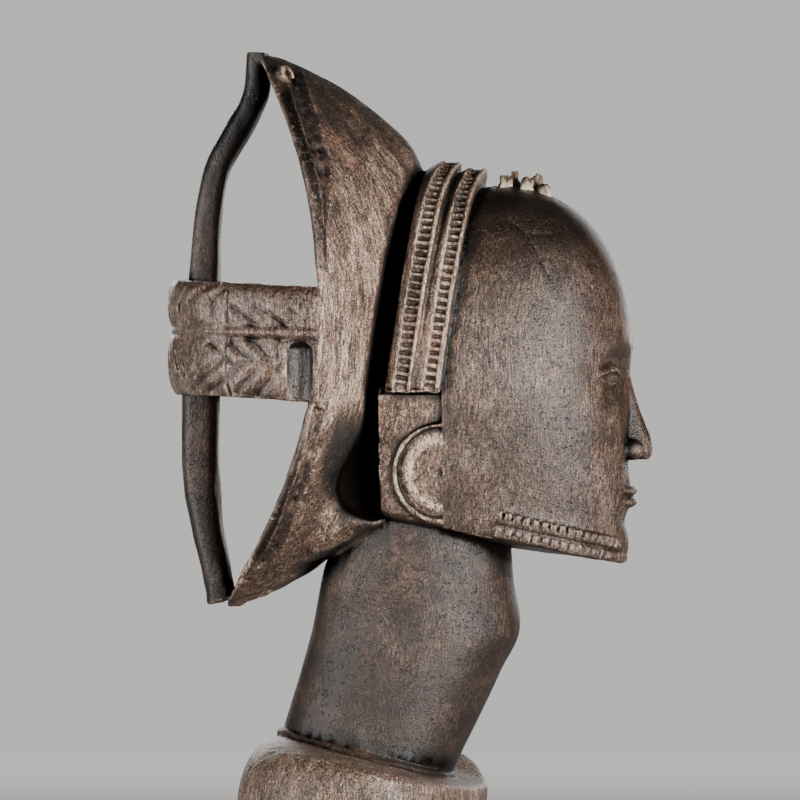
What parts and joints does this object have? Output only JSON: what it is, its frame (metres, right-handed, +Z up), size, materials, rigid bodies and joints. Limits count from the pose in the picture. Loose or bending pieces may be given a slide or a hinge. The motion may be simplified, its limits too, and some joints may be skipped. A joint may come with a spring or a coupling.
{
  "type": "ancestor figure bust",
  "caption": "Carved wooden head of an ancestor figure with ladder diadem, C-shaped ears, jaw beard and open basket headdress, as a bust cut flat below the shoulders.",
  "frame": {"origin": "in the flat underside, below the neck", "axes": "+Z up, +X the way the face looks, +Y the figure's left"},
  "size_m": [0.2425, 0.235, 0.4145],
  "materials": {
    "carved_wood": "worn dark patina, satin where handled",
    "pale_stub": "polished",
    "dark_stub": "satin"
  },
  "bodies": {
    "root": {"carved_bust": "carved_wood", "crown_stub_1": "pale_stub", "crown_stub_2": "dark_stub", "crown_stub_3": "pale_stub", "crown_stub_4": "dark_stub", "crown_stub_5": "pale_stub"}
  },
  "joints": []
}
